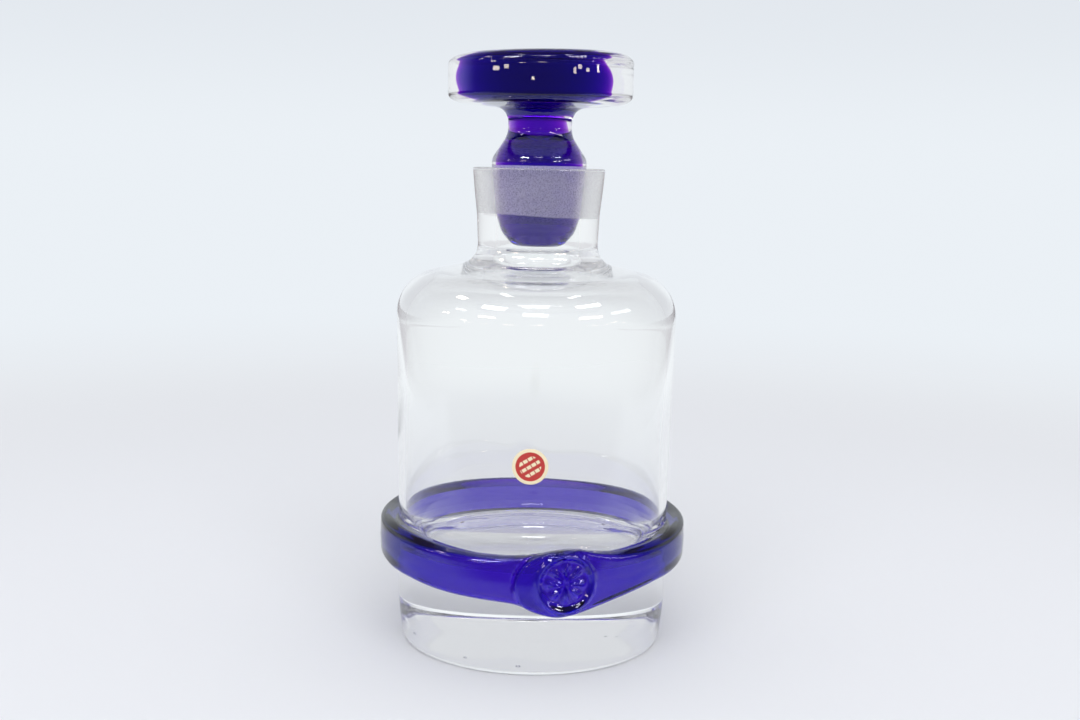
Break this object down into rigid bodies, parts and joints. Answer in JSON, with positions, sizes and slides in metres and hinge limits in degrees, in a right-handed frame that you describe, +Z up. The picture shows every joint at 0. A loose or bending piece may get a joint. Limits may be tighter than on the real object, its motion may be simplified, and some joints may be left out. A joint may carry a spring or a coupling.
{
  "type": "glass carafe",
  "caption": "Square-shouldered clear glass carafe with a thick base, a cobalt strap with a stamped seal, a paper label and a clear-cased cobalt stopper.",
  "frame": {"origin": "middle of the underside, on the plane that it stands on", "axes": "+Z up the axis of the bottle and its stopper, -Y towards the front that carries the label, +X to the right of someone who faces that front"},
  "size_m": [0.1209, 0.1229, 0.2297],
  "materials": {
    "clear_glass": "polished clear glass, ground matt round the mouth",
    "strap_glass": "polished cobalt-blue glass",
    "seal_glass": "polished cobalt-blue glass, stamped",
    "label_paper": "printed paper, red disc with a cream edge",
    "casing_glass": "polished clear glass, ground matt on the plug",
    "core_glass": "cobalt-blue glass inside the clear casing"
  },
  "bodies": {
    "carafe_body": {"bottle": "clear_glass", "strap": "strap_glass", "seal": "seal_glass", "label": "label_paper"},
    "stopper": {"stopper_casing": "casing_glass", "stopper_core": "core_glass"}
  },
  "joints": [
    {"name": "stopper_lift", "type": "slide", "parent": "carafe_body", "child": "stopper", "axis": [0, 0, 1], "range_m": [0, 0.06]}
  ]
}
